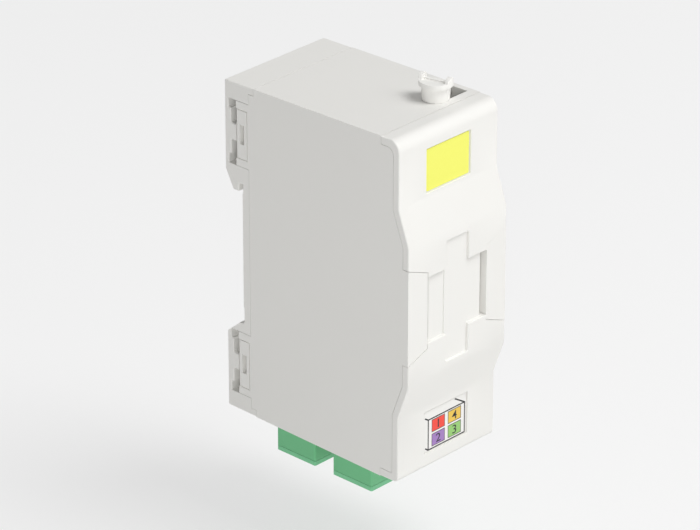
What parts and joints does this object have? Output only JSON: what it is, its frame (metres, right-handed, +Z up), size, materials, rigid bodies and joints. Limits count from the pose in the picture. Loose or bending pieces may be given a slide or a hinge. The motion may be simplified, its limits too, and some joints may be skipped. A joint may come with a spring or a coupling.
{
  "type": "din rail fibre box",
  "caption": "Slim rail-mounted box for splicing and patching optical fibre: clip-on profiled front, cable slot and gland on top, green capped ports below.",
  "frame": {"origin": "middle of the face that seats on the front of the rail's flanges", "axes": "+Y out of the rear towards the rail and wall, +Z up, +X to the right seen from the front"},
  "size_m": [0.0346, 0.0602, 0.1064],
  "materials": {
    "shell_plastic": "fine moulded texture",
    "cover_plastic": "fine moulded texture",
    "latch_plastic": "fine moulded texture",
    "gland_plastic": "satin",
    "inner_plastic": "satin",
    "tray_plastic": "satin",
    "clear_plastic": "polished",
    "comb_rubber": "matte",
    "adapter_green": "satin",
    "plug_green": "satin",
    "zirconia": "polished",
    "yellow_film": "printed film",
    "white_film": "printed film",
    "zinc_steel": "zinc plated",
    "spring_steel": "drawn wire"
  },
  "bodies": {
    "case": {"rear_base": "shell_plastic", "latch_spring": "spring_steel", "housing": "shell_plastic", "cable_gland": "gland_plastic", "cable_clamp": "inner_plastic", "clamp_screws": "zinc_steel", "splice_tray": "tray_plastic", "tray_cover": "clear_plastic", "splice_comb": "comb_rubber", "tray_screws": "zinc_steel", "adapter_1": "adapter_green", "adapter_2": "adapter_green", "adapter_3": "adapter_green", "adapter_4": "adapter_green", "sleeve_1": "zirconia", "sleeve_2": "zirconia", "sleeve_3": "zirconia", "sleeve_4": "zirconia", "adapter_retainer": "inner_plastic", "retainer_screws": "zinc_steel"},
    "cover": {"front_cover": "cover_plastic", "yellow_label": "yellow_film", "port_legend": "white_film"},
    "latch": {"rail_latch": "latch_plastic"},
    "entry_plug": {"gland_plug": "gland_plastic"},
    "port_cap_1": {"dust_plug_1": "plug_green"},
    "port_cap_2": {"dust_plug_2": "plug_green"},
    "port_cap_3": {"dust_plug_3": "plug_green"},
    "port_cap_4": {"dust_plug_4": "plug_green"}
  },
  "joints": [
    {"name": "cover_pull", "type": "slide", "parent": "case", "child": "cover", "axis": [0, -1, 0], "range_m": [0, 0.03]},
    {"name": "latch_slide", "type": "slide", "parent": "case", "child": "latch", "axis": [0, 0, -1], "range_m": [0, 0.003], "stiffness_N_per_m": 1500, "springref_m": -0.003, "deforming": ["latch_spring"]},
    {"name": "entry_plug_pull", "type": "slide", "parent": "case", "child": "entry_plug", "axis": [0, 0, 1], "range_m": [0, 0.012]},
    {"name": "port_cap_1_pull", "type": "slide", "parent": "case", "child": "port_cap_1", "axis": [0, 0, -1], "range_m": [0, 0.02]},
    {"name": "port_cap_2_pull", "type": "slide", "parent": "case", "child": "port_cap_2", "axis": [0, 0, -1], "range_m": [0, 0.02]},
    {"name": "port_cap_3_pull", "type": "slide", "parent": "case", "child": "port_cap_3", "axis": [0, 0, -1], "range_m": [0, 0.02]},
    {"name": "port_cap_4_pull", "type": "slide", "parent": "case", "child": "port_cap_4", "axis": [0, 0, -1], "range_m": [0, 0.02]}
  ]
}
